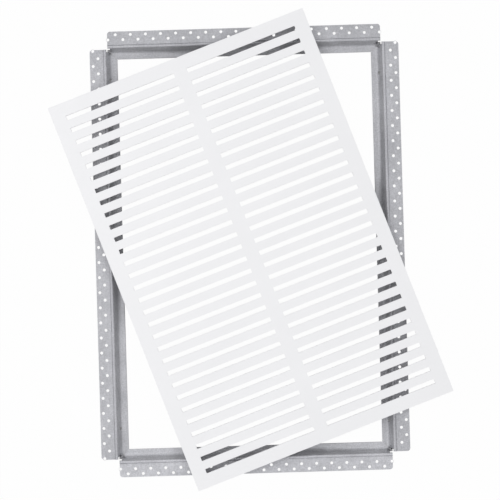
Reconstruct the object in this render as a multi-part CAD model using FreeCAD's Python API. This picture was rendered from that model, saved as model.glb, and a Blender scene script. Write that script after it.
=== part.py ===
import FreeCAD, Part
import math
import os

from FreeCAD import Vector

# Return air grille: a galvanised plaster-in frame of four roll-formed rails, and a loose slotted face panel.
# All sizes are in millimetres. +X runs across the grille, +Y along it and +Z up, out of the wall.
# The origin is under the middle of the loose panel, level with the frame's lowest edge.

# Face panel
panel_width = 406.0
panel_length = 610.0
panel_thickness = 3.0
panel_corner_radius = 1.0
side_margin = 20.8
end_margin = 20.3
centre_rib = 20.6
slot_rows = 30
slot_width = 6.7

# Seating rim: four strips on edge on the panel's back, which stand on the frame's ledge when it is in place
rim_inset = 8.6
rim_thickness = 2.5

# How the panel lies on the frame: turned in its own plane, its rim on the highest line of the rails
panel_turn = 19.85
panel_shift_x = 1.0
panel_shift_y = 1.4
panel_clearance = 1.1

# Rail section, measured from the outer edge of the flange inwards
sheet = 0.8
board_depth = 10.0
flange_flat = 20.0
flange_to_recess = 26.1
nose_rise = 1.9
nose_ramp = 1.6
nose_radius = 2.6
crease_radius = 0.8
wall_lean = 34.0
foot_radius = 7.0
rail_depth = 40.5
hem_length = 6.0
hem_gap = 0.2

# Ends of the rails
end_setback = 0.6
end_corner_radius = 4.5
mitre_gap = 0.3
relief_length = 3.5
relief_width = 2.2

# Perforations in the flange, drawn with a few flat sides because there are so many
hole_sides = 8
hole_width = 4.5
hole_pitch = 22.5
outer_row = 4.75
row_spacing = 7.45

# Screw holes low in the walls of the long rails
screw_hole_diameter = 4.8
screw_from_corner = 46.0
screw_height = 4.8

# Weld beads down the mitre of the walls
weld_width = 3.4
weld_face = 1.05
weld_root = 0.7
weld_top = 8.0
weld_bottom = 4.0

# Bar magnets against the inside of the rim, level with its edge
magnet_length = 20.0
magnet_thickness = 2.0
magnet_height = 5.0
magnet_from_end = 95.0

# Levels and places that follow from these sizes
frame_height = board_depth + sheet + nose_rise
ledge_top = 2.0 * sheet + hem_gap
seat_level = frame_height - panel_thickness
outer_width = panel_width + 2.0 * (panel_clearance + flange_to_recess)
outer_length = panel_length + 2.0 * (panel_clearance + flange_to_recess)
lean = math.radians(wall_lean)
wall_down = Vector(0.0, math.sin(lean), -math.cos(lean))
wall_normal = Vector(0.0, math.cos(lean), math.sin(lean))
wall_point = Vector(0.0, flange_to_recess, seat_level)
rim_height = seat_level - ledge_top


def on_wall(height):
    """The point of the wall's upper surface at a height, in the plane of the section."""
    return wall_point + wall_down * ((seat_level - height) / math.cos(lean))


def corner_points(before, corner, after, radius):
    """Where an arc of this radius starts and ends at a corner, with its middle point."""
    back = (before - corner).normalize()
    ahead = (after - corner).normalize()
    half_opening = back.getAngle(ahead) / 2.0
    run = radius / math.tan(half_opening)
    bisector = (back + ahead).normalize()
    centre = corner + bisector * (radius / math.sin(half_opening))
    return corner + back * run, centre - bisector * radius, corner + ahead * run


def rounded_path(points, radii):
    """Edges of an open path through the points, with an arc at each inner point."""
    edges = []
    start = points[0]
    for before, corner, after, radius in zip(points, points[1:], points[2:], radii):
        arc_start, arc_middle, arc_end = corner_points(before, corner, after, radius)
        if (arc_start - start).Length > 1e-6:
            edges.append(Part.LineSegment(start, arc_start).toShape())
        edges.append(Part.Arc(arc_start, arc_middle, arc_end).toShape())
        start = arc_end
    edges.append(Part.LineSegment(start, points[-1]).toShape())
    return edges


def rounded_polygon(points, radii):
    """A closed wire through the points, with an arc where the radius isn't zero."""
    arcs = []
    count = len(points)
    for index, radius in enumerate(radii):
        corner = points[index]
        if radius > 0.0:
            arcs.append(corner_points(points[index - 1], corner, points[(index + 1) % count], radius))
        else:
            arcs.append((corner, None, corner))
    edges = []
    for index, (arc_start, arc_middle, arc_end) in enumerate(arcs):
        if arc_middle is not None:
            edges.append(Part.Arc(arc_start, arc_middle, arc_end).toShape())
        edges.append(Part.LineSegment(arc_end, arcs[(index + 1) % count][0]).toShape())
    return Part.Wire(edges)


def shifted(points, distance):
    """The path's corners moved sideways by a distance, to the left of its direction in the YZ plane."""
    directions = [(b - a).normalize() for a, b in zip(points, points[1:])]
    normals = [Vector(0.0, -d.z, d.y) for d in directions]
    moved = [points[0] + normals[0] * distance]
    for corner, first, second in zip(points[1:-1], normals, normals[1:]):
        bisector = (first + second).normalize()
        moved.append(corner + bisector * (distance / bisector.dot(first)))
    moved.append(points[-1] + normals[-1] * distance)
    return moved


def prism(sides, width, base, height):
    """An upright regular prism, given the width across its flats and the middle of its base."""
    radius = width / 2.0 / math.cos(math.pi / sides)
    angles = [2.0 * math.pi * (index + 0.5) / sides for index in range(sides)]
    corners = [base + Vector(radius * math.cos(angle), radius * math.sin(angle), 0.0) for angle in angles]
    return Part.Face(Part.makePolygon(corners + [corners[0]])).extrude(Vector(0.0, 0.0, height))


def rail_section():
    """The bent strip of one rail as a face: flange, raised nose, leaning wall, ledge and closed hem."""
    half = sheet / 2.0
    flange_level = board_depth + half
    crest_level = frame_height - half
    ledge_level = ledge_top - half
    wall_middle = wall_point - wall_normal * half
    crest_end = wall_middle + wall_down * ((wall_middle.z - crest_level) / math.cos(lean))
    wall_foot = wall_middle + wall_down * ((wall_middle.z - ledge_level) / math.cos(lean))
    hem_turn = rail_depth - half
    middle = [
        Vector(0.0, 0.0, flange_level),
        Vector(0.0, flange_flat, flange_level),
        Vector(0.0, flange_flat + nose_ramp, crest_level),
        crest_end,
        wall_foot,
        Vector(0.0, hem_turn, ledge_level),
        Vector(0.0, hem_turn, half),
        Vector(0.0, rail_depth - hem_length, half),
    ]
    hem_radius = (sheet + hem_gap) / 2.0
    # Middle radius of each bend, and +1 where the strip turns to the left, -1 to the right
    bends = [
        (crease_radius + half, 1),
        (crease_radius + half, -1),
        (nose_radius - half, -1),
        (foot_radius + half, 1),
        (hem_radius, -1),
        (hem_radius, -1),
    ]
    upper = rounded_path(shifted(middle, half), [radius - side * half for radius, side in bends])
    lower = rounded_path(shifted(middle, -half), [radius + side * half for radius, side in bends])
    first = shifted(middle, half)
    second = shifted(middle, -half)
    outer_end = Part.LineSegment(first[0], second[0]).toShape()
    hem_end = Part.LineSegment(first[-1], second[-1]).toShape()
    return Part.Face(Part.Wire(upper + [hem_end] + lower[::-1] + [outer_end]))


def rail_outline(outer_half):
    """Plan of a rail: square-ended flange, small reliefs at the nose, mitred wall and ledge."""
    flange_end = outer_half - flange_to_recess - end_setback
    mitre_end = outer_half - mitre_gap / math.sqrt(2.0)
    relief_end = flange_end - relief_length
    relief_start = flange_to_recess - relief_width / 2.0
    relief_stop = flange_to_recess + relief_width / 2.0
    right = [
        (flange_end, 0.0, end_corner_radius),
        (flange_end, relief_start, 0.0),
        (relief_end, relief_start, 0.0),
        (relief_end, relief_stop, 0.0),
        (mitre_end - relief_stop, relief_stop, 0.0),
        (mitre_end - rail_depth, rail_depth, 0.0),
    ]
    left = [(-x, y, radius) for x, y, radius in reversed(right)]
    corners = right + left
    points = [Vector(x, y, 0.0) for x, y, radius in corners]
    return rounded_polygon(points, [radius for x, y, radius in corners])


def hole_places(flange_half, full_row, other_row, skip_last):
    """Centres of the perforations: a full row that the rail's ends cut into, and one between its holes."""
    count = int(2.0 * flange_half / hole_pitch) + 1
    first = -hole_pitch * (count - 1) / 2.0
    full = [(first + hole_pitch * index, full_row) for index in range(count)]
    between = [(first + hole_pitch * (index + 0.5), other_row) for index in range(count - 1)]
    if skip_last:
        full = full[1:]
    return full + between


def make_rail(outer_half, full_row_outside, skip_last=False):
    """One rail along X, with its outer edge on the X axis and its inside towards +Y."""
    section = rail_section()
    section.translate(Vector(-outer_half, 0.0, 0.0))
    strip = section.extrude(Vector(2.0 * outer_half, 0.0, 0.0))
    outline = Part.Face(rail_outline(outer_half))
    outline.translate(Vector(0.0, 0.0, -1.0))
    rail = strip.common(outline.extrude(Vector(0.0, 0.0, frame_height + 2.0)))
    inner_row = outer_row + row_spacing
    full_row = outer_row if full_row_outside else inner_row
    other_row = inner_row if full_row_outside else outer_row
    flange_half = outer_half - flange_to_recess - end_setback
    drills = []
    for x, y in hole_places(flange_half, full_row, other_row, skip_last):
        drills.append(prism(hole_sides, hole_width, Vector(x, y, board_depth - sheet), 3.0 * sheet))
    return rail.cut(Part.makeCompound(drills)).Solids[0]


def screw_place(outer_half):
    """How far from the rail's middle its screw holes are."""
    return outer_half - flange_to_recess - screw_from_corner


def with_screw_holes(rail, outer_half):
    """The rail with a level screw hole through its wall near each end."""
    radius = screw_hole_diameter / 2.0
    start = flange_to_recess - screw_hole_diameter
    reach = on_wall(ledge_top).y + foot_radius - start
    for x in (-screw_place(outer_half), screw_place(outer_half)):
        drill = Part.makeCylinder(radius, reach, Vector(x, start, screw_height), Vector(0.0, 1.0, 0.0))
        rail = rail.cut(drill)
    return rail.Solids[0]


def on_side(shape, side):
    """A shape modelled on the bottom side, moved to another side of the frame."""
    turns = {"bottom": 0.0, "right": 90.0, "top": 180.0, "left": 270.0}
    edges = {
        "bottom": Vector(0.0, -outer_length / 2.0, 0.0),
        "right": Vector(outer_width / 2.0, 0.0, 0.0),
        "top": Vector(0.0, outer_length / 2.0, 0.0),
        "left": Vector(-outer_width / 2.0, 0.0, 0.0),
    }
    placed = shape.copy()
    placed.rotate(Vector(), Vector(0.0, 0.0, 1.0), turns[side])
    placed.translate(edges[side])
    return placed


def on_cove(height):
    """The point of the upper surface at a height, where the wall curves into the ledge."""
    cove_end = on_wall(ledge_top).y + foot_radius * math.tan(math.pi / 4.0 - lean / 2.0)
    drop = foot_radius - (height - ledge_top)
    return Vector(0.0, cove_end - math.sqrt(foot_radius ** 2 - drop ** 2), height)


def make_weld(sign_x, sign_y, rails):
    """A flat-faced bead in the valley between two walls, from below the relief to the start of the cove."""
    ends = []
    for point in (on_wall(weld_top), on_cove(weld_bottom)):
        ends.append(Vector(outer_width / 2.0 - point.y, outer_length / 2.0 - point.y, point.z))
    start, stop = ends
    along = (stop - start).normalize()
    across = Vector(1.0, -1.0, 0.0).normalize()
    out_of_valley = across.cross(along).normalize()
    if out_of_valley.z < 0.0:
        out_of_valley = out_of_valley * -1.0
    face_middle = start + out_of_valley * weld_face
    corners = [
        start - out_of_valley * weld_root,
        face_middle + across * (weld_width / 2.0),
        face_middle - across * (weld_width / 2.0),
    ]
    bead = Part.Face(Part.makePolygon(corners + [corners[0]])).extrude(stop - start)
    if sign_x < 0:
        bead = bead.mirror(Vector(), Vector(1.0, 0.0, 0.0))
    if sign_y < 0:
        bead = bead.mirror(Vector(), Vector(0.0, 1.0, 0.0))
    return bead.cut(rails).Solids[0]


def rectangle(x, y, half_x, half_y, radius=0.0):
    """A level rectangle around a middle point, with rounded corners if it has a radius."""
    signs = [(-1, -1), (1, -1), (1, 1), (-1, 1)]
    points = [Vector(x + sign_x * half_x, y + sign_y * half_y, 0.0) for sign_x, sign_y in signs]
    return rounded_polygon(points, [radius] * 4)


def block(x, y, width, length, bottom, top):
    """A block around an upright line, between two levels."""
    return Part.makeBox(width, length, top - bottom, Vector(x - width / 2.0, y - length / 2.0, bottom))


def make_panel():
    """The flat face plate, centred with its underside at z = 0, pierced by two columns of slots."""
    half_width = panel_width / 2.0
    half_length = panel_length / 2.0
    slot_length = (panel_width - 2.0 * side_margin - centre_rib) / 2.0
    slot_x = (centre_rib + slot_length) / 2.0
    first_row = half_length - end_margin - slot_width / 2.0
    row_pitch = 2.0 * first_row / (slot_rows - 1)

    wires = [rectangle(0.0, 0.0, half_width, half_length, panel_corner_radius)]
    for row in range(slot_rows):
        y = row_pitch * row - first_row
        for side in (-1, 1):
            wires.append(rectangle(side * slot_x, y, slot_length / 2.0, slot_width / 2.0))
    plate = Part.makeFace(wires, "Part::FaceMakerBullseye")
    return plate.extrude(Vector(0.0, 0.0, panel_thickness)).Solids[0]


def make_rim_strips():
    """The four strips of the seating rim by side, below z = 0, the short ones between the long ones."""
    half_width = panel_width / 2.0 - rim_inset
    half_length = panel_length / 2.0 - rim_inset
    middle = half_width - rim_thickness / 2.0
    end = half_length - rim_thickness / 2.0
    short_length = 2.0 * (half_width - rim_thickness)
    strips = {}
    for side, sign in (("left", -1), ("right", 1)):
        strips[side] = block(sign * middle, 0.0, rim_thickness, 2.0 * half_length, -rim_height, 0.0)
    for side, sign in (("bottom", -1), ("top", 1)):
        strips[side] = block(0.0, sign * end, short_length, rim_thickness, -rim_height, 0.0)
    return strips


def make_magnets():
    """Bar magnets along the inside of the rim: three on each long strip, one on each short strip."""
    x = panel_width / 2.0 - rim_inset - rim_thickness - magnet_thickness / 2.0
    y = panel_length / 2.0 - rim_inset - rim_thickness - magnet_thickness / 2.0
    along = panel_length / 2.0 - magnet_from_end
    top = magnet_height - rim_height
    magnets = []
    for sign in (-1, 1):
        for place in (-along, 0.0, along):
            magnets.append(block(sign * x, place, magnet_thickness, magnet_length, -rim_height, top))
        magnets.append(block(0.0, sign * y, magnet_length, magnet_thickness, -rim_height, top))
    return magnets


def laid_on_frame(shape):
    """A piece of the panel, turned and laid with its rim on the crest of the rails."""
    placed = shape.copy()
    placed.translate(Vector(0.0, 0.0, frame_height + rim_height))
    placed.rotate(Vector(), Vector(0.0, 0.0, 1.0), panel_turn)
    return placed


def make_frame():
    """The rails and the weld beads by name, around the frame's own middle."""
    half_width = outer_width / 2.0
    half_length = outer_length / 2.0
    short_rail = make_rail(half_width, full_row_outside=False)
    long_rail = make_rail(half_length, full_row_outside=True)
    short_of_one_hole = make_rail(half_length, full_row_outside=True, skip_last=True)
    pieces = {}
    pieces["bottom_rail"] = on_side(short_rail, "bottom")
    pieces["top_rail"] = on_side(short_rail, "top")
    pieces["left_rail"] = on_side(with_screw_holes(long_rail, half_length), "left")
    pieces["right_rail"] = on_side(with_screw_holes(short_of_one_hole, half_length), "right")
    rails = list(pieces.values())
    pieces["corner_weld_bottom_left"] = make_weld(-1, -1, rails)
    pieces["corner_weld_bottom_right"] = make_weld(1, -1, rails)
    pieces["corner_weld_top_right"] = make_weld(1, 1, rails)
    pieces["corner_weld_top_left"] = make_weld(-1, 1, rails)
    return pieces


def make_parts():
    """Every piece by its name, in place."""
    parts = make_frame()
    for piece in parts.values():
        piece.translate(Vector(-panel_shift_x, -panel_shift_y, 0.0))
    parts["grille_panel"] = laid_on_frame(make_panel())
    for side, strip in make_rim_strips().items():
        parts["seating_rim_%s" % side] = laid_on_frame(strip)
    for number, magnet in enumerate(make_magnets(), start=1):
        parts["magnet_%d" % number] = laid_on_frame(magnet)
    return parts


os.makedirs("parts", exist_ok=True)
for part_name, part_shape in make_parts().items():
    part_shape.exportStep("parts/%s.step" % part_name)
    print(part_name, len(part_shape.Solids), part_shape.isValid(), round(part_shape.Volume, 1))
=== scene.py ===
import math

import bpy
from mathutils import Matrix, Vector


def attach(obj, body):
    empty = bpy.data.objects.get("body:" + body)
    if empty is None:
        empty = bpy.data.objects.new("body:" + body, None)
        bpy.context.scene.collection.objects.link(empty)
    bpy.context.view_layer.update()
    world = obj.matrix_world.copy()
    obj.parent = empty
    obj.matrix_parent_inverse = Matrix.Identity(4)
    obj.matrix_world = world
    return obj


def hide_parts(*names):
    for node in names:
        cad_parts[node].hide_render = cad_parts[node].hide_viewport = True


# Return air grille: a galvanised plaster-in frame, and a white slotted face panel lying loose on it by its
# rim. Everything is in metres, in the frame of the model.

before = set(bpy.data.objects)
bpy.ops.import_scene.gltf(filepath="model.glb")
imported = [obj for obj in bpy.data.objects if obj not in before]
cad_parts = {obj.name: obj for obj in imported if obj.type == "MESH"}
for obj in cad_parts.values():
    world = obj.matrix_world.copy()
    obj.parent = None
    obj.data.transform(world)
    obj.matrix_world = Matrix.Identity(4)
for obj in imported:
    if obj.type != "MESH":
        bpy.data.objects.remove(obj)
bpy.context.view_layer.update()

MM = 0.001

# Face panel, as in the part's source
panel_width = 406.0 * MM
panel_length = 610.0 * MM
panel_thickness = 3.0 * MM
panel_corner_radius = 1.0 * MM
side_margin = 20.8 * MM
end_margin = 20.3 * MM
centre_rib = 20.6 * MM
slot_rows = 30
slot_width = 6.7 * MM
panel_turn = math.radians(19.85)

# Seating rim and magnets on the back of the panel, as in the part's source
rim_inset = 8.6 * MM
rim_thickness = 2.5 * MM
rim_height = 7.9 * MM
magnet_length = 20.0 * MM
magnet_thickness = 2.0 * MM
magnet_height = 5.0 * MM
magnet_from_end = 95.0 * MM

# Frame, as in the part's source; the holes are counted along the row that the flange's ends cut into
outer_width = 460.4 * MM
outer_length = 664.4 * MM
frame_middle = (-1.0 * MM, -1.4 * MM)
sheet = 0.8 * MM
flange_top = 10.8 * MM
frame_height = 12.7 * MM
hole_width = 4.5 * MM
hole_pitch = 22.5 * MM
outer_row = 4.75 * MM
row_spacing = 7.45 * MM
inner_row = outer_row + row_spacing
short_side_holes = 19
long_side_holes = 28

# Fine detail that only this script makes: rounded corners and edges, and thin rims round the flange's holes
slot_corner_radius = 0.9 * MM
panel_edge_rounding = 0.3 * MM
seating_corner_radius = 0.6 * MM
seating_edge_rounding = 0.25 * MM
magnet_corner_share = 0.2
magnet_edge_rounding = 0.2 * MM
hole_rim_width = 0.3 * MM
hole_rim_height = sheet + 0.08 * MM
hole_rim_sides = 16
rounding_steps = 2
rounded_from = math.radians(50.0)
same_point = 0.001 * MM

# Weld beads, a little longer than their solids: each end as its distance inside the outline, and its level
weld_top = (27.0 * MM, 8.3 * MM)
weld_bottom = (31.0 * MM, 3.3 * MM)
weld_radius = 1.3 * MM
weld_rise = 0.7 * MM
weld_ripples = 6.0
weld_ripple_depth = 0.13
weld_wander = 0.9 * MM
weld_wander_scale = 4.0
weld_seed_step = 3.7
weld_blunt_end = 0.15
weld_steps = 64
weld_sides = 20

# Zinc-coated sheet: its patches, spangle, roll lines (scale across, along and through), speckle and soot
zinc_dull = (0.585, 0.588, 0.614)
zinc_clean = (0.692, 0.694, 0.721)
cloud_scale = 26.0
crystal_scale = 120.0
roll_across, roll_along, roll_through = 900.0, 14.0, 500.0
speckle_scale = 700.0
soot = (0.092, 0.093, 0.099)
soot_scale = 330.0
soot_full = 3.0 * MM
soot_gone = 7.5 * MM
# Painted light: each rail's copy of the sheet is made lighter or darker as light falls on that side, the
# bottom rail lightest
painted_light_by_side = {"bottom": 1.12, "right": 1.02, "top": 1.00, "left": 1.02}

# Camera: straight above the frame, turned a little, as the photograph was taken
picture_size = 500
picture_scale = 1.4905 * MM
camera_distance = 2.2
camera_turn = math.radians(1.7)
frame_middle_in_picture = (249.95, 250.55)
sensor_width = 36.0
clip_range = (0.05, 50.0)

# The floor's own colour, and how much of it shows as plain white, straight on and in reflections
floor_colour = (0.40, 0.397, 0.392)
floor_roughness = 0.9
floor_glow = 0.985
mirrored_glow = 0.10
floor_reach = 6.0
floor_level = -0.2 * MM
# Painted shadow on the floor under the walls and the ledge, where its white glow is dimmed, by the distance
# inside the frame's outline
shaded_from = 25.6 * MM
shaded_to = 39.5 * MM
shaded_glow = 0.15

# Light tent: brightness by the sine of the elevation, dimmer at the horizon and round the camera
tent = ((0.00, 0.30), (0.34, 0.30), (0.53, 1.40), (0.85, 1.40), (0.94, 0.45), (1.00, 0.45))
tent_colour = (0.989, 0.990, 1.000)
tent_level = 0.93
# Weak lamp on the left
softbox_place = (-0.75, 0.0, 0.9)
softbox_aim = (-0.2, 0.0, 0.0)
softbox_size = (0.4, 1.0)
softbox_power = 1.3


# ---------------------------------------------------------------- small helpers

def link(tree, source, target):
    tree.links.new(source, target)


def add_node(tree, kind, settings=None, **values):
    """A node with its settings, its inputs given by name with _ for a space."""
    made = tree.nodes.new(kind)
    for key, value in (settings or {}).items():
        setattr(made, key, value)
    for key, value in values.items():
        name = key.replace("_", " ")
        target = next(s for s in made.inputs if s.name == name and s.enabled)
        if isinstance(value, bpy.types.NodeSocket):
            link(tree, value, target)
        else:
            target.default_value = value
    return made


def maths(tree, operation, a, b=0.0):
    """A sum with one or two terms, each a number or an output; an operation with one term leaves b out."""
    made = tree.nodes.new("ShaderNodeMath")
    made.operation = operation
    for socket, value in zip(made.inputs, (a, b)):
        if isinstance(value, bpy.types.NodeSocket):
            link(tree, value, socket)
        else:
            socket.default_value = value
    return made.outputs[0]


def triple(tree, **parts):
    """A vector from its X, Y and Z; those left out are zero."""
    return add_node(tree, "ShaderNodeCombineXYZ", **parts).outputs[0]


def new_material(name):
    mat = bpy.data.materials.new(name)
    mat.use_nodes = True
    tree = mat.node_tree
    tree.nodes.clear()
    out = tree.nodes.new("ShaderNodeOutputMaterial")
    surface = tree.nodes.new("ShaderNodeBsdfPrincipled")
    link(tree, surface.outputs["BSDF"], out.inputs["Surface"])
    return mat, tree, surface


def place(tree, stretch=(1.0, 1.0, 1.0), shift=(0.0, 0.0, 0.0)):
    """Object coordinates, stretched and shifted."""
    where = tree.nodes.new("ShaderNodeTexCoord")
    mapping = add_node(tree, "ShaderNodeMapping", Vector=where.outputs["Object"], Scale=stretch,
                       Location=shift)
    return mapping.outputs["Vector"]


def folded_place(tree):
    """Distance from the frame's middle along each axis, alike in all four corners."""
    where = place(tree, shift=(-frame_middle[0], -frame_middle[1], 0.0))
    folded = add_node(tree, "ShaderNodeVectorMath", {"operation": "ABSOLUTE"})
    link(tree, where, folded.inputs[0])
    return folded.outputs[0]


def noise(tree, scale, detail, roughness, stretch=(1.0, 1.0, 1.0)):
    """Noise in object coordinates; its size goes by the scale, in features to a metre."""
    made = add_node(tree, "ShaderNodeTexNoise", Vector=place(tree, stretch), Scale=scale, Detail=detail,
                    Roughness=roughness)
    return made.outputs["Fac"]


def ramp(tree, factor, stops):
    """A colour ramp over a factor; stops are (position, grey or colour)."""
    made = tree.nodes.new("ShaderNodeValToRGB")
    band = made.color_ramp
    while len(band.elements) < len(stops):
        band.elements.new(0.5)
    for element, (position, colour) in zip(band.elements, stops):
        element.position = position
        if isinstance(colour, (int, float)):
            colour = (colour, colour, colour)
        element.color = (*colour, 1.0)
    link(tree, factor, made.inputs["Fac"])
    return made.outputs["Color"]


def mixed(tree, factor, a, b, blend="MIX"):
    """Two colours mixed by a factor; any of the three may be an output."""
    made = tree.nodes.new("ShaderNodeMix")
    made.data_type = "RGBA"
    made.blend_type = blend
    for socket, value in ((made.inputs[0], factor), (made.inputs[6], a), (made.inputs[7], b)):
        if isinstance(value, bpy.types.NodeSocket):
            link(tree, value, socket)
        elif socket.type == "RGBA":
            socket.default_value = (*value, 1.0)
        else:
            socket.default_value = value
    return made.outputs[2]


def value_range(tree, factor, low, high, start=0.0, stop=1.0):
    """A factor that runs from start to stop, brought to run from low to high and no further."""
    made = tree.nodes.new("ShaderNodeMapRange")
    link(tree, factor, made.inputs["Value"])
    for name, value in (("From Min", start), ("From Max", stop), ("To Min", low), ("To Max", high)):
        made.inputs[name].default_value = value
    return made.outputs["Result"]


def dress_surface(tree, surface, tone, rough, metallic):
    link(tree, tone, surface.inputs["Base Color"])
    link(tree, rough, surface.inputs["Roughness"])
    surface.inputs["Metallic"].default_value = metallic


def bumped(tree, surface, height, strength, distance):
    made = add_node(tree, "ShaderNodeBump", Height=height, Strength=strength, Distance=distance)
    link(tree, made.outputs["Normal"], surface.inputs["Normal"])


# ---------------------------------------------------------------- materials

def galvanised_sheet(name, along_y, brightness):
    """Zinc-coated sheet: soft spangle, fine lines from the rolls, cloudy patches and soot by the welds; all
    its tones are scaled by the painted light of its side.
    """
    mat, tree, surface = new_material(name)
    along_x_stretch = (roll_along, roll_across, roll_through)
    along_y_stretch = (roll_across, roll_along, roll_through)
    crystals = add_node(tree, "ShaderNodeTexVoronoi", {"feature": "F1", "distance": "EUCLIDEAN"},
                        Vector=place(tree), Scale=crystal_scale, Randomness=1.0)
    crystal_tone = value_range(tree, crystals.outputs["Color"], 0.0, 1.0)
    clouds = noise(tree, cloud_scale, 5.0, 0.6)
    fine = noise(tree, speckle_scale, 3.0, 0.6)
    lines = noise(tree, 1.0, 3.0, 0.55, along_y_stretch if along_y else along_x_stretch)
    dull = [brightness * level for level in zinc_dull]
    clean = [brightness * level for level in zinc_clean]
    tone = ramp(tree, clouds, ((0.30, dull), (0.70, clean)))
    tone = mixed(tree, 0.6, tone, ramp(tree, crystal_tone, ((0.0, 0.88), (1.0, 1.0))), "MULTIPLY")
    tone = mixed(tree, 0.5, tone, ramp(tree, lines, ((0.3, 0.90), (0.7, 1.0))), "MULTIPLY")
    tone = mixed(tree, 1.0, tone, ramp(tree, fine, ((0.36, 0.76), (0.64, 1.03))), "MULTIPLY")
    tone = mixed(tree, soot_share(tree), tone, soot)
    rough = value_range(tree, crystal_tone, 0.57, 0.67)
    rough = maths(tree, "ADD", rough, value_range(tree, fine, -0.05, 0.05, 0.3, 0.7))
    dress_surface(tree, surface, tone, rough, 1.0)
    height = maths(tree, "ADD", maths(tree, "MULTIPLY", lines, 0.5), fine)
    bumped(tree, surface, height, 0.10, 0.2 * MM)
    return mat


def soot_share(tree):
    """How sooty the zinc is: patchy round the welds in the four inner corners, and clean elsewhere."""
    inset = (weld_top[0] + weld_bottom[0]) / 2.0
    level = (weld_top[1] + weld_bottom[1]) / 2.0
    away = add_node(tree, "ShaderNodeVectorMath", {"operation": "DISTANCE"})
    link(tree, folded_place(tree), away.inputs[0])
    away.inputs[1].default_value = (outer_width / 2.0 - inset, outer_length / 2.0 - inset, level)
    near = value_range(tree, away.outputs["Value"], 1.0, 0.0, soot_full, soot_gone)
    patchy = value_range(tree, noise(tree, soot_scale, 3.0, 0.6), 0.0, 1.0, 0.44, 0.56)
    return maths(tree, "MULTIPLY", near, patchy)


def white_powder_coat():
    """Satin white powder coat with a fine orange peel."""
    mat, tree, surface = new_material("white_powder_coat")
    peel = noise(tree, 900.0, 2.0, 0.5)
    broad = noise(tree, 14.0, 4.0, 0.6)
    tone = ramp(tree, broad, ((0.30, (0.868, 0.868, 0.876)), (0.70, (0.886, 0.886, 0.894))))
    dress_surface(tree, surface, tone, value_range(tree, peel, 0.38, 0.52, 0.3, 0.7), 0.0)
    bumped(tree, surface, peel, 0.12, 0.2 * MM)
    return mat


def weld_metal():
    """Weld bead: patchy grey metal with a rough skin."""
    mat, tree, surface = new_material("weld_metal")
    clouds = noise(tree, 420.0, 4.0, 0.6)
    tone = ramp(tree, clouds, ((0.30, (0.29, 0.29, 0.30)), (0.55, (0.41, 0.41, 0.425)),
                               (0.75, (0.51, 0.51, 0.53))))
    dress_surface(tree, surface, tone, value_range(tree, clouds, 0.35, 0.60, 0.3, 0.7), 1.0)
    bumped(tree, surface, clouds, 0.3, 0.3 * MM)
    return mat


def magnet_plating():
    """Nickel-plated magnet, with small scuffs."""
    mat, tree, surface = new_material("magnet_plating")
    scuffs = noise(tree, 900.0, 6.0, 0.7)
    tone = ramp(tree, scuffs, ((0.35, (0.56, 0.54, 0.50)), (0.65, (0.72, 0.70, 0.66))))
    dress_surface(tree, surface, tone, value_range(tree, scuffs, 0.18, 0.40, 0.35, 0.65), 1.0)
    bumped(tree, surface, scuffs, 0.08, 0.1 * MM)
    return mat


def painted_shadow_band(tree):
    """Mask of the painted shadow: one on the floor's upper side under the frame's walls and ledge, and
    nothing elsewhere.
    """
    parts = add_node(tree, "ShaderNodeSeparateXYZ", Vector=folded_place(tree))
    across = maths(tree, "SUBTRACT", parts.outputs["X"], outer_width / 2.0)
    along = maths(tree, "SUBTRACT", parts.outputs["Y"], outer_length / 2.0)
    outward = maths(tree, "MAXIMUM", across, along)
    from_middle = maths(tree, "ABSOLUTE", maths(tree, "ADD", outward, (shaded_from + shaded_to) / 2.0))
    under = maths(tree, "LESS_THAN", from_middle, (shaded_to - shaded_from) / 2.0)
    from_below = tree.nodes.new("ShaderNodeNewGeometry").outputs["Backfacing"]
    return maths(tree, "MULTIPLY", under, maths(tree, "SUBTRACT", 1.0, from_below))


def studio_floor():
    """Pale floor that shows as white, but for a painted shadow under the frame's walls, where its glow is
    dimmed.
    """
    mat, tree, surface = new_material("studio_floor")
    surface.inputs["Base Color"].default_value = (*floor_colour, 1.0)
    surface.inputs["Roughness"].default_value = floor_roughness
    surface.inputs["Specular IOR Level"].default_value = 0.0
    glow = add_node(tree, "ShaderNodeEmission", Color=(1.0, 1.0, 1.0, 1.0), Strength=1.0)
    seen = tree.nodes.new("ShaderNodeLightPath")
    straight = maths(tree, "ADD", seen.outputs["Is Camera Ray"], seen.outputs["Is Transmission Ray"])
    mirrored = maths(tree, "MULTIPLY", seen.outputs["Is Glossy Ray"], mirrored_glow)
    share = maths(tree, "ADD", maths(tree, "MULTIPLY", straight, floor_glow), mirrored)
    share = maths(tree, "MINIMUM", share, floor_glow)
    # Painted shadow: the glow is dimmed to shaded_glow in a fixed band under the walls and ledge
    share = maths(tree, "MULTIPLY", share, value_range(tree, painted_shadow_band(tree), 1.0, shaded_glow))
    blend = tree.nodes.new("ShaderNodeMixShader")
    link(tree, share, blend.inputs[0])
    link(tree, surface.outputs["BSDF"], blend.inputs[1])
    link(tree, glow.outputs["Emission"], blend.inputs[2])
    out = next(n for n in tree.nodes if n.type == "OUTPUT_MATERIAL")
    link(tree, blend.outputs[0], out.inputs["Surface"])
    return mat


# ---------------------------------------------------------------- geometry trees

def geometry_tree(name, numbers, counts=(), vectors=()):
    """A geometry node tree with named inputs; gives the tree, its inputs, its result and the identifiers."""
    tree = bpy.data.node_groups.new(name, "GeometryNodeTree")
    identifiers = {}
    kinds = ((numbers, "NodeSocketFloat"), (counts, "NodeSocketInt"), (vectors, "NodeSocketVector"))
    for labels, kind in kinds:
        for label in labels:
            socket = tree.interface.new_socket(name=label, in_out="INPUT", socket_type=kind)
            identifiers[label] = socket.identifier
    tree.interface.new_socket(name="Geometry", in_out="OUTPUT", socket_type="NodeSocketGeometry")
    given = tree.nodes.new("NodeGroupInput")
    result = tree.nodes.new("NodeGroupOutput")
    return tree, given.outputs, result.inputs["Geometry"], identifiers


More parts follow.
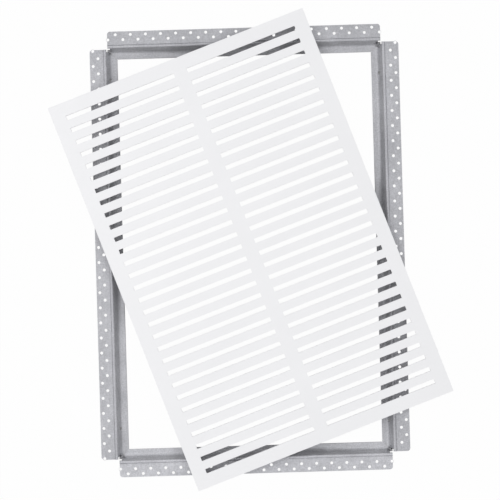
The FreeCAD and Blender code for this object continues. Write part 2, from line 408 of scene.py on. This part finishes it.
def finish_tree(tree, geometry, material, target):
    """Ends a tree in real geometry with its material on it."""
    real = add_node(tree, "GeometryNodeRealizeInstances", Geometry=geometry)
    dressed = add_node(tree, "GeometryNodeSetMaterial", Geometry=real.outputs[0], Material=material)
    link(tree, dressed.outputs[0], target)


def mesh_from_tree(name, tree, identifiers, values, rounding=0.0, smooth_angle=30.0):
    """Runs a tree on an empty object and gives a plain mesh object in its place."""
    holder = bpy.data.objects.new(name + "_maker", bpy.data.meshes.new(name + "_maker"))
    bpy.context.scene.collection.objects.link(holder)
    modifier = holder.modifiers.new("tree", "NODES")
    modifier.node_group = tree
    for label, value in values.items():
        modifier[identifiers[label]] = value
    if rounding:
        bevel = holder.modifiers.new("edges", "BEVEL")
        bevel.width = rounding
        bevel.segments = rounding_steps
        bevel.limit_method = "ANGLE"
        bevel.angle_limit = rounded_from
        bevel.harden_normals = True
    graph = bpy.context.evaluated_depsgraph_get()
    mesh = bpy.data.meshes.new_from_object(holder.evaluated_get(graph), depsgraph=graph)
    bpy.data.objects.remove(holder)
    mesh.name = name
    if not rounding:
        mesh.shade_smooth()
        mesh.set_sharp_from_angle(angle=math.radians(smooth_angle))
    made = bpy.data.objects.new(name, mesh)
    bpy.context.scene.collection.objects.link(made)
    return made


def joined(tree, *parts):
    whole = tree.nodes.new("GeometryNodeJoinGeometry")
    for part in parts:
        link(tree, part, whole.inputs[0])
    return whole.outputs[0]


def rectangle_curve(tree, width, height, radius, steps):
    """A rectangle with rounded corners, as a curve."""
    outline = add_node(tree, "GeometryNodeCurvePrimitiveQuadrilateral", Width=width, Height=height)
    rounded = add_node(tree, "GeometryNodeFilletCurve", {"mode": "POLY"}, Curve=outline.outputs[0],
                       Radius=radius, Count=steps)
    return rounded.outputs[0]


def raised_face(tree, outline, height):
    """A closed solid between an outline at level zero and the same outline at a height."""
    face = add_node(tree, "GeometryNodeFillCurve", {"mode": "NGONS"}, Curve=outline)
    raised = add_node(tree, "GeometryNodeExtrudeMesh", {"mode": "FACES"}, Mesh=face.outputs[0],
                      Offset_Scale=height, Individual=False)
    back = add_node(tree, "GeometryNodeFlipFaces", Mesh=face.outputs[0])
    whole = joined(tree, raised.outputs[0], back.outputs[0])
    return add_node(tree, "GeometryNodeMergeByDistance", Geometry=whole, Distance=same_point).outputs[0]


def moved(tree, geometry, turn, shift):
    """The geometry turned about the upright axis and then shifted."""
    made = add_node(tree, "GeometryNodeTransform", Geometry=geometry, Translation=shift,
                    Rotation=triple(tree, Z=turn))
    return made.outputs[0]


def slotted_panel_tree(material):
    """Rounded plate pierced by two columns of slots."""
    tree, given, target, names = geometry_tree(
        "slotted_panel",
        ("Width", "Length", "Thickness", "Corner Radius", "Side Margin", "End Margin", "Centre Rib",
         "Slot Width", "Slot Corner Radius", "Turn", "Level"),
        counts=("Rows",))
    outside = rectangle_curve(tree, given["Width"], given["Length"], given["Corner Radius"], 4)
    open_width = maths(tree, "SUBTRACT", given["Width"], maths(tree, "MULTIPLY", given["Side Margin"], 2.0))
    slot_length = maths(tree, "MULTIPLY", maths(tree, "SUBTRACT", open_width, given["Centre Rib"]), 0.5)
    columns_apart = maths(tree, "ADD", slot_length, given["Centre Rib"])
    open_length = maths(tree, "SUBTRACT", given["Length"], maths(tree, "MULTIPLY", given["End Margin"], 2.0))
    rows_apart = maths(tree, "SUBTRACT", open_length, given["Slot Width"])
    slot = rectangle_curve(tree, slot_length, given["Slot Width"], given["Slot Corner Radius"], 5)
    grid = add_node(tree, "GeometryNodeMeshGrid", Size_X=columns_apart, Size_Y=rows_apart, Vertices_X=2,
                    Vertices_Y=given["Rows"])
    slots = add_node(tree, "GeometryNodeInstanceOnPoints", Points=grid.outputs[0], Instance=slot)
    slots = add_node(tree, "GeometryNodeRealizeInstances", Geometry=slots.outputs[0])
    plate = raised_face(tree, joined(tree, slots.outputs[0], outside), given["Thickness"])
    plate = moved(tree, plate, given["Turn"], triple(tree, Z=given["Level"]))
    finish_tree(tree, plate, material, target)
    return tree, names


def perforation_rims_tree(material):
    """Thin pressed rims round two staggered rows of holes, on the bottom side, turned to any side."""
    tree, given, target, names = geometry_tree(
        "perforation_rims",
        ("Pitch", "Full Row", "Other Row", "Hole Width", "Rim Width", "Rim Height", "Level", "Turn", "Reach"),
        counts=("Holes", "Skipped"), vectors=("Middle",))
    half_run = maths(tree, "MULTIPLY", maths(tree, "SUBTRACT", given["Holes"], 1.0),
                     maths(tree, "MULTIPLY", given["Pitch"], 0.5))
    step = triple(tree, X=given["Pitch"])
    rows = []
    # Each row with how many holes it lacks, and how many pitches in its first one is
    for row, lacking, first in (("Full Row", given["Skipped"], given["Skipped"]), ("Other Row", 1, 0.5)):
        start = maths(tree, "SUBTRACT", maths(tree, "MULTIPLY", given["Pitch"], first), half_run)
        corner = triple(tree, X=start, Y=maths(tree, "SUBTRACT", given[row], given["Reach"]),
                        Z=given["Level"])
        line = add_node(tree, "GeometryNodeMeshLine", Count=maths(tree, "SUBTRACT", given["Holes"], lacking),
                        Start_Location=corner, Offset=step)
        rows.append(line.outputs[0])
    rim_middle = maths(tree, "ADD", maths(tree, "MULTIPLY", given["Hole Width"], 0.5),
                       maths(tree, "MULTIPLY", given["Rim Width"], 0.5))
    circle = add_node(tree, "GeometryNodeCurvePrimitiveCircle", {"mode": "RADIUS"}, Resolution=hole_rim_sides,
                      Radius=rim_middle)
    profile = add_node(tree, "GeometryNodeCurvePrimitiveQuadrilateral", Width=given["Rim Width"],
                       Height=given["Rim Height"])
    rim = add_node(tree, "GeometryNodeCurveToMesh", Curve=circle.outputs[0], Profile_Curve=profile.outputs[0])
    rims = add_node(tree, "GeometryNodeInstanceOnPoints", Points=joined(tree, *rows), Instance=rim.outputs[0])
    finish_tree(tree, moved(tree, rims.outputs[0], given["Turn"], given["Middle"]), material, target)
    return tree, names


def seating_rim_tree(material):
    """The rim under the panel: a hoop of flat strip on edge, following the panel's outline."""
    tree, given, target, names = geometry_tree(
        "seating_rim", ("Width", "Length", "Thickness", "Height", "Corner Radius", "Turn", "Level"))
    twice = maths(tree, "MULTIPLY", given["Thickness"], 2.0)
    outside = rectangle_curve(tree, given["Width"], given["Length"], given["Corner Radius"], 4)
    inside = rectangle_curve(tree, maths(tree, "SUBTRACT", given["Width"], twice),
                             maths(tree, "SUBTRACT", given["Length"], twice),
                             maths(tree, "MULTIPLY", given["Corner Radius"], 0.5), 3)
    hoop = raised_face(tree, joined(tree, inside, outside), given["Height"])
    finish_tree(tree, moved(tree, hoop, given["Turn"], triple(tree, Z=given["Level"])), material, target)
    return tree, names


def bar_magnets_tree(material):
    """Bar magnets along the inside of the rim: three on each long side and one on each short side."""
    tree, given, target, names = geometry_tree(
        "bar_magnets", ("Half Width", "Half Length", "Reach", "Bar Length", "Bar Thickness", "Bar Height",
                        "Corner Share", "Turn", "Level"))
    long_sides = add_node(tree, "GeometryNodeMeshGrid", Vertices_X=2, Vertices_Y=3,
                          Size_X=maths(tree, "MULTIPLY", given["Half Width"], 2.0),
                          Size_Y=maths(tree, "MULTIPLY", given["Reach"], 2.0))
    first = triple(tree, Y=maths(tree, "MULTIPLY", given["Half Length"], -1.0))
    apart = triple(tree, Y=maths(tree, "MULTIPLY", given["Half Length"], 2.0))
    short_sides = add_node(tree, "GeometryNodeMeshLine", Count=2, Start_Location=first, Offset=apart)
    bars = []
    for places, wide, deep in ((long_sides, "Bar Thickness", "Bar Length"),
                               (short_sides, "Bar Length", "Bar Thickness")):
        corner = maths(tree, "MULTIPLY", given["Bar Thickness"], given["Corner Share"])
        outline = rectangle_curve(tree, given[wide], given[deep], corner, 3)
        bar = raised_face(tree, outline, given["Bar Height"])
        placed = add_node(tree, "GeometryNodeInstanceOnPoints", Points=places.outputs[0], Instance=bar)
        bars.append(placed.outputs[0])
    bars = moved(tree, joined(tree, *bars), given["Turn"], triple(tree, Z=given["Level"]))
    finish_tree(tree, bars, material, target)
    return tree, names


def weld_bead_tree(material):
    """A rippled bead down the mitre of two walls, tapered at both ends, turned to any corner."""
    tree, given, target, names = geometry_tree(
        "weld_bead", ("Radius", "Ripples", "Ripple Depth", "Wander", "Seed", "Turn"),
        vectors=("Start", "End", "Corner"))
    line = add_node(tree, "GeometryNodeCurvePrimitiveLine", {"mode": "POINTS"}, Start=given["Start"],
                    End=given["End"])
    line = add_node(tree, "GeometryNodeResampleCurve", {"mode": "COUNT"}, Curve=line.outputs[0],
                    Count=weld_steps)
    along = tree.nodes.new("GeometryNodeSplineParameter").outputs["Factor"]
    turns = maths(tree, "MULTIPLY", maths(tree, "MULTIPLY", along, given["Ripples"]), math.tau)
    ripple = maths(tree, "MULTIPLY", maths(tree, "SINE", turns), given["Ripple Depth"])
    ripple = maths(tree, "ADD", ripple, 1.0)
    centred = maths(tree, "SUBTRACT", maths(tree, "MULTIPLY", along, 2.0), 1.0)
    fourth = maths(tree, "POWER", maths(tree, "ABSOLUTE", centred), 4.0)
    taper = maths(tree, "SQRT", maths(tree, "SUBTRACT", 1.0, fourth))
    taper = maths(tree, "ADD", taper, weld_blunt_end)
    radius = maths(tree, "MULTIPLY", maths(tree, "MULTIPLY", taper, ripple), given["Radius"])
    line = add_node(tree, "GeometryNodeSetCurveRadius", Curve=line.outputs[0], Radius=radius)
    drift = add_node(tree, "ShaderNodeTexNoise", {"noise_dimensions": "1D"}, Scale=weld_wander_scale,
                     Detail=1.0, W=maths(tree, "ADD", along, given["Seed"]))
    drift = maths(tree, "MULTIPLY", maths(tree, "SUBTRACT", drift.outputs["Fac"], 0.5), given["Wander"])
    line = add_node(tree, "GeometryNodeSetPosition", Geometry=line.outputs[0], Offset=triple(tree, Y=drift))
    ring = add_node(tree, "GeometryNodeCurvePrimitiveCircle", {"mode": "RADIUS"}, Resolution=weld_sides,
                    Radius=1.0)
    kept_radius = tree.nodes.new("GeometryNodeInputRadius").outputs[0]
    bead = add_node(tree, "GeometryNodeCurveToMesh", Curve=line.outputs[0], Profile_Curve=ring.outputs[0],
                    Scale=kept_radius, Fill_Caps=True)
    finish_tree(tree, moved(tree, bead.outputs[0], given["Turn"], given["Corner"]), material, target)
    return tree, names


# ---------------------------------------------------------------- pieces

def make_panel(material):
    tree, names = slotted_panel_tree(material)
    panel = mesh_from_tree("slotted_face_panel", tree, names, {
        "Width": panel_width, "Length": panel_length, "Thickness": panel_thickness,
        "Corner Radius": panel_corner_radius, "Side Margin": side_margin, "End Margin": end_margin,
        "Centre Rib": centre_rib, "Rows": slot_rows, "Slot Width": slot_width,
        "Slot Corner Radius": slot_corner_radius, "Turn": panel_turn, "Level": frame_height + rim_height,
    }, rounding=panel_edge_rounding)
    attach(panel, "root")
    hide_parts("grille_panel")


def make_seating_rim(material):
    tree, names = seating_rim_tree(material)
    rim = mesh_from_tree("seating_rim", tree, names, {
        "Width": panel_width - 2.0 * rim_inset, "Length": panel_length - 2.0 * rim_inset,
        "Thickness": rim_thickness, "Height": rim_height, "Corner Radius": seating_corner_radius,
        "Turn": panel_turn, "Level": frame_height,
    }, rounding=seating_edge_rounding)
    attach(rim, "root")
    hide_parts("seating_rim_left", "seating_rim_right", "seating_rim_bottom", "seating_rim_top")


def make_magnets(material):
    inset = rim_inset + rim_thickness + magnet_thickness / 2.0
    tree, names = bar_magnets_tree(material)
    magnets = mesh_from_tree("bar_magnets", tree, names, {
        "Half Width": panel_width / 2.0 - inset, "Half Length": panel_length / 2.0 - inset,
        "Reach": panel_length / 2.0 - magnet_from_end, "Bar Length": magnet_length,
        "Bar Thickness": magnet_thickness, "Bar Height": magnet_height, "Corner Share": magnet_corner_share,
        "Turn": panel_turn, "Level": frame_height,
    }, rounding=magnet_edge_rounding)
    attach(magnets, "root")
    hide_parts(*["magnet_%d" % (index + 1) for index in range(8)])


def make_weld_beads(material):
    """One rippled bead in each corner of the frame; the walls' mitre runs along the diagonal."""
    corners = (
        ("bottom_left", -1, -1, 45.0), ("bottom_right", 1, -1, 135.0),
        ("top_right", 1, 1, 225.0), ("top_left", -1, 1, 315.0),
    )
    tree, names = weld_bead_tree(material)
    diagonal = math.sqrt(2.0)
    run = (weld_bottom[0] - weld_top[0]) * diagonal
    drop = weld_top[1] - weld_bottom[1]
    reach = math.hypot(run, drop)
    lift = Vector((drop / reach, 0.0, run / reach)) * weld_rise
    start = Vector((weld_top[0] * diagonal, 0.0, weld_top[1])) + lift
    end = Vector((weld_bottom[0] * diagonal, 0.0, weld_bottom[1])) + lift
    for index, (corner, side_x, side_y, turn) in enumerate(corners):
        corner_x = frame_middle[0] + side_x * outer_width / 2.0
        corner_y = frame_middle[1] + side_y * outer_length / 2.0
        bead = mesh_from_tree("weld_bead_" + corner, tree, names, {
            "Start": start, "End": end, "Radius": weld_radius, "Ripples": weld_ripples,
            "Ripple Depth": weld_ripple_depth, "Wander": weld_wander, "Seed": weld_seed_step * index,
            "Turn": math.radians(turn), "Corner": (corner_x, corner_y, 0.0),
        }, smooth_angle=60.0)
        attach(bead, "root")
        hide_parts("corner_weld_" + corner)


def make_hole_rims(sheets):
    """Rims on all four sides; the full row of holes is the inner one on the short sides."""
    sides = (
        ("bottom", 0.0, outer_length, short_side_holes, 0, inner_row, outer_row),
        ("right", 90.0, outer_width, long_side_holes, 1, outer_row, inner_row),
        ("top", 180.0, outer_length, short_side_holes, 0, inner_row, outer_row),
        ("left", 270.0, outer_width, long_side_holes, 0, outer_row, inner_row),
    )
    for side, turn, across, count, skipped, full_row, other_row in sides:
        tree, names = perforation_rims_tree(sheets[side])
        rims = mesh_from_tree("perforation_rims_" + side, tree, names, {
            "Holes": count, "Skipped": skipped, "Pitch": hole_pitch, "Full Row": full_row,
            "Other Row": other_row, "Hole Width": hole_width, "Rim Width": hole_rim_width,
            "Rim Height": hole_rim_height, "Level": flange_top - sheet / 2.0, "Turn": math.radians(turn),
            "Reach": across / 2.0, "Middle": (*frame_middle, 0.0),
        })
        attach(rims, "root")


def dress_node(node, material):
    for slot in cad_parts[node].material_slots:
        slot.material = material


# ---------------------------------------------------------------- studio

def make_floor():
    mesh = bpy.data.meshes.new("studio_floor")
    signs = ((-1, -1), (1, -1), (1, 1), (-1, 1))
    mesh.from_pydata([(x * floor_reach, y * floor_reach, floor_level) for x, y in signs], [], [(0, 1, 2, 3)])
    floor = bpy.data.objects.new("studio_floor", mesh)
    bpy.context.scene.collection.objects.link(floor)
    mesh.materials.append(studio_floor())


def make_softbox():
    lamp = bpy.data.lights.new("softbox_left", "AREA")
    lamp.shape = "RECTANGLE"
    lamp.size, lamp.size_y = softbox_size
    lamp.energy = softbox_power
    made = bpy.data.objects.new("softbox_left", lamp)
    bpy.context.scene.collection.objects.link(made)
    made.location = softbox_place
    made.rotation_euler = (Vector(softbox_aim) - Vector(softbox_place)).to_track_quat("-Z", "Y").to_euler()
    made.visible_camera = False


def make_lights():
    """A light tent, brightest in a band all round, with a weak lamp on the left."""
    world = bpy.data.worlds.new("studio")
    bpy.context.scene.world = world
    world.use_nodes = True
    sky = world.node_tree
    background = sky.nodes["Background"]
    direction = sky.nodes.new("ShaderNodeTexCoord")
    parts = sky.nodes.new("ShaderNodeSeparateXYZ")
    link(sky, direction.outputs["Generated"], parts.inputs[0])
    brightest = max(level for height, level in tent)
    stops = [(height, [level / brightest * part for part in tent_colour]) for height, level in tent]
    link(sky, ramp(sky, parts.outputs["Z"], stops), background.inputs["Color"])
    background.inputs["Strength"].default_value = brightest * tent_level
    make_softbox()


def make_camera():
    data = bpy.data.cameras.new("camera")
    data.sensor_width = sensor_width
    data.lens = sensor_width * camera_distance / (picture_size * picture_scale)
    data.clip_start, data.clip_end = clip_range
    camera = bpy.data.objects.new("camera", data)
    bpy.context.scene.collection.objects.link(camera)
    right = (picture_size / 2.0 - frame_middle_in_picture[0]) * picture_scale
    up = (frame_middle_in_picture[1] - picture_size / 2.0) * picture_scale
    turned = Matrix.Rotation(-camera_turn, 3, "Z") @ Vector((right, up, 0.0))
    camera.location = (frame_middle[0] + turned.x, frame_middle[1] + turned.y, flange_top + camera_distance)
    camera.rotation_euler = (0.0, 0.0, -camera_turn)
    bpy.context.scene.camera = camera


# ---------------------------------------------------------------- the scene

bpy.context.scene.view_settings.view_transform = "Standard"

# One copy of the sheet for each rail, each with its own painted light
sheets = {side: galvanised_sheet("galvanised_sheet_" + side, side in ("left", "right"), brightness)
          for side, brightness in painted_light_by_side.items()}
coat = white_powder_coat()

make_camera()
make_lights()
make_floor()
make_panel(coat)
make_seating_rim(coat)
make_magnets(magnet_plating())
make_weld_beads(weld_metal())
make_hole_rims(sheets)
for side, sheet_metal in sheets.items():
    dress_node(side + "_rail", sheet_metal)
